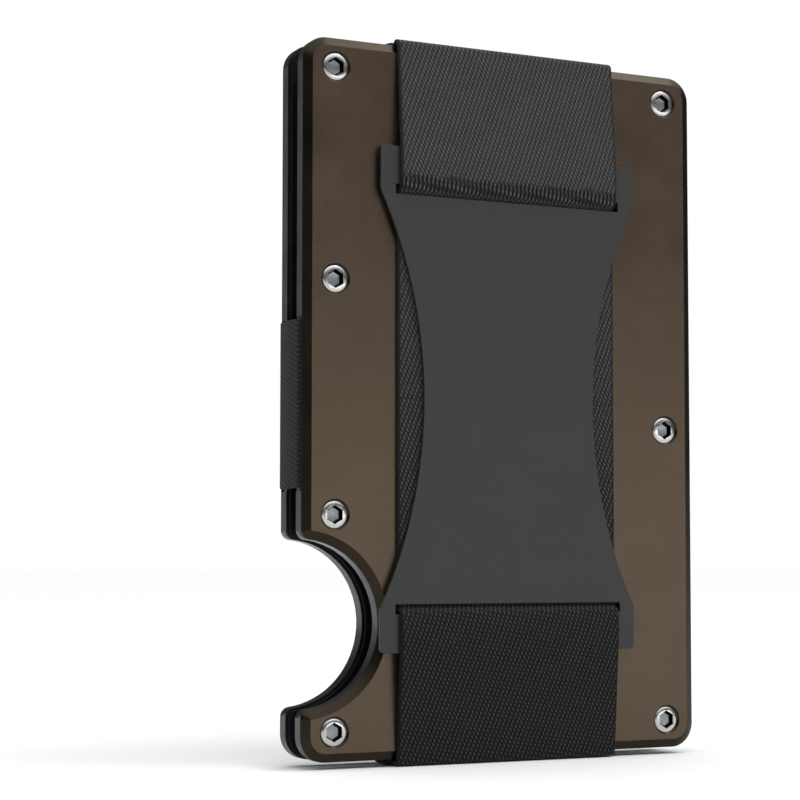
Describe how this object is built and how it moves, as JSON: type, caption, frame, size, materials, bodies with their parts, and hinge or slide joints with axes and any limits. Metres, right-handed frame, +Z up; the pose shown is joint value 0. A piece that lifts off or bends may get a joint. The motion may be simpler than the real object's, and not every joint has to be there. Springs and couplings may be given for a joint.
{
  "type": "minimalist wallet",
  "caption": "Slim metal wallet: two layered plates drawn together by elastic webbing, with a thumb notch and a strap that holds cash under a waisted plate.",
  "frame": {"origin": "centre of the upright wallet's box in plan, at the level of its lowest point, the crown of the bottom webbing dome", "axes": "+X towards the plain long edge (the thumb notch is on -X), +Y from the strap side towards the back, +Z up along the length"},
  "size_m": [0.0545, 0.0092, 0.0877],
  "materials": {
    "bronze_plate": "bead-blasted, bronze-grey anodised aluminium",
    "black_frame": "black anodised aluminium, satin",
    "black_liner": "black coated aluminium sheet, matte",
    "screw_steel": "polished stainless steel",
    "strap_plate_metal": "dark grey powder coat, matte",
    "webbing": "black woven elastic webbing, fine twill"
  },
  "bodies": {
    "rear_half": {"rear_face_plate": "bronze_plate", "rear_inner_frame": "black_frame", "rear_liner_plate": "black_liner", "rear_screws": "screw_steel", "rear_card_band_run": "webbing", "rear_side_band_tab": "webbing", "top_card_band_bridge": "webbing", "bottom_card_band_bridge": "webbing", "side_band_bridge": "webbing"},
    "front_half": {"front_face_plate": "bronze_plate", "front_inner_frame": "black_frame", "front_liner_plate": "black_liner", "front_screws": "screw_steel", "front_card_band_run": "webbing", "front_side_band_tab": "webbing", "strap_top_anchor": "webbing", "strap_bottom_anchor": "webbing"},
    "cash_strap": {"strap_plate": "strap_plate_metal", "strap_centre_run": "webbing", "strap_upper_span": "webbing", "strap_lower_span": "webbing"}
  },
  "joints": [
    {"name": "card_gap", "type": "slide", "parent": "rear_half", "child": "front_half", "axis": [0, -1, 0], "range_m": [-0.00205, 0.007], "stiffness_N_per_m": 600, "deforming": ["top_card_band_bridge", "bottom_card_band_bridge", "side_band_bridge"]},
    {"name": "strap_lift", "type": "slide", "parent": "front_half", "child": "cash_strap", "axis": [0, -1, 0], "range_m": [0, 0.005], "stiffness_N_per_m": 150, "deforming": ["strap_upper_span", "strap_lower_span"]}
  ]
}
